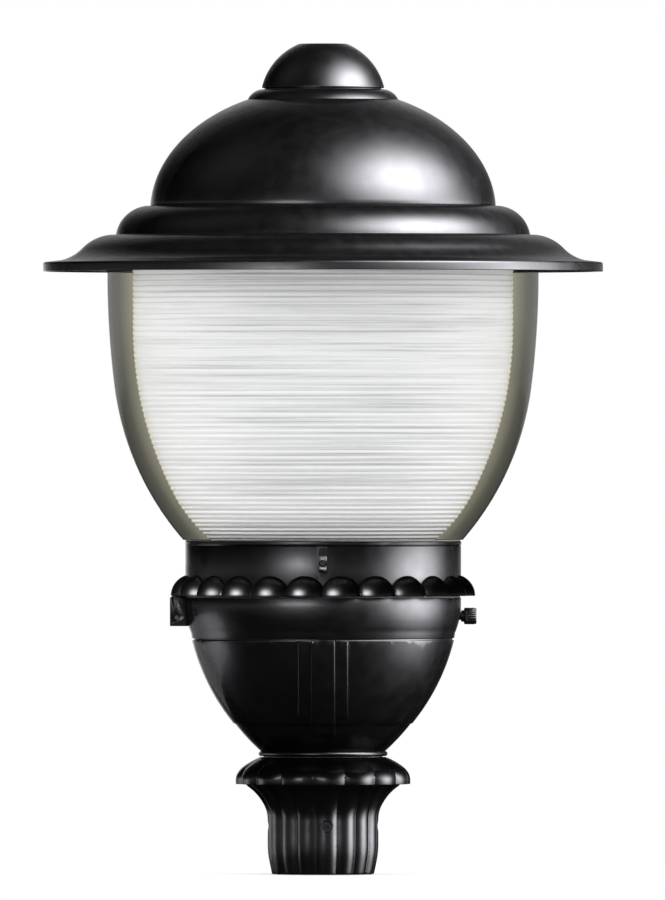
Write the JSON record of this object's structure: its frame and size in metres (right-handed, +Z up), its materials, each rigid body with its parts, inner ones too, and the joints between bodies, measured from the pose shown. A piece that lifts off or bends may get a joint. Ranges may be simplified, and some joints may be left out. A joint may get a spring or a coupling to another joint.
{
  "type": "post top lantern",
  "caption": "Post top lantern: a reeded tenon fitter and bowl-shaped gear housing carry a hinged head with a clear globe, ribbed refractor, spun hood and ball finial.",
  "frame": {"origin": "middle of the open end of the fitter, at the bottom of the lantern", "axes": "+Z up along the lantern's axis; the front faces -Y, the head's hinge is at -X and the thumb screw at +X"},
  "size_m": [0.56, 0.56, 0.8303],
  "materials": {
    "black_coat": "satin black powder coat on cast and spun aluminium",
    "black_screw": "black-coated steel screw",
    "stainless": "stainless steel fasteners",
    "sheet_metal": "zinc-plated sheet steel",
    "core_steel": "varnished core plates",
    "winding": "varnished copper winding",
    "can_aluminium": "plain drawn aluminium",
    "potted_plastic": "moulded plastic",
    "terminal_plastic": "moulded plastic",
    "brass_parts": "bright brass",
    "seal_rubber": "moulded rubber",
    "white_coat": "gloss white coat on sheet aluminium",
    "porcelain": "glazed porcelain",
    "lamp_glass": "clear lamp glass",
    "quartz": "quartz burner",
    "globe_acrylic": "clear acrylic, lightly smoked",
    "prism_glass": "prismatic glass with level ribs"
  },
  "bodies": {
    "base": {"post_fitter": "black_coat", "fitter_set_screws": "black_screw", "neck_gasket": "seal_rubber", "neck_bolts": "stainless", "ballast_housing": "black_coat", "housing_seal": "seal_rubber", "hinge_block": "black_coat", "hinge_pin": "black_screw", "hinge_block_screws": "black_screw", "gear_tray": "sheet_metal", "tray_screws": "stainless", "ballast_core": "core_steel", "ballast_coil": "winding", "ballast_bracket": "sheet_metal", "gear_screws": "stainless", "capacitor": "can_aluminium", "capacitor_strap": "sheet_metal", "ignitor": "potted_plastic", "terminal_block": "terminal_plastic", "terminal_screws": "brass_parts", "earth_stud": "brass_parts", "tray_grommet": "seal_rubber", "cover_posts": "stainless", "gear_cover": "white_coat", "cover_screws": "stainless", "holder_bracket": "sheet_metal", "lampholder": "porcelain", "lampholder_contacts": "brass_parts", "lamp_cap": "brass_parts", "lamp_envelope": "lamp_glass", "arc_tube": "quartz"},
    "head": {"globe_collar": "black_coat", "scallop_ring": "black_coat", "hinge_lug": "black_coat", "latch_tab": "sheet_metal", "head_screws": "stainless", "neck_clips": "stainless", "collar_screws": "black_coat", "globe_gasket": "seal_rubber", "globe": "globe_acrylic", "refractor": "prism_glass", "refractor_seal": "seal_rubber", "refractor_gasket": "seal_rubber", "hood_skirt": "black_coat", "soffit_ring": "white_coat", "soffit_screws": "stainless", "globe_screws": "stainless", "globe_rim_gasket": "seal_rubber", "reflector": "white_coat", "reflector_screws": "stainless", "hood_dome": "black_coat", "dome_rivets": "sheet_metal", "finial_ring": "black_coat", "finial": "black_coat", "finial_stud": "stainless", "finial_nut": "stainless"},
    "knob": {"thumb_screw": "black_screw", "latch_retainer": "stainless"},
    "clamp": {"clamp_nut": "stainless"}
  },
  "joints": [
    {"name": "head_tilt", "type": "hinge", "parent": "base", "child": "head", "pos_m": [-0.146, 0, 0.2565], "axis": [0, -1, 0], "range_deg": [0, 95]},
    {"name": "knob_turn", "type": "hinge", "parent": "base", "child": "knob", "pos_m": [0.1412, 0, 0.258], "axis": [1, 0, 0], "range_deg": [0, 1800]},
    {"name": "clamp_slide", "type": "slide", "parent": "base", "child": "clamp", "axis": [-1, 0, 0], "range_m": [0, 0.00625]}
  ],
  "couplings": [
    {"joint": "knob_turn", "follows": "clamp_slide", "rad_per_m": 5026.5}
  ]
}
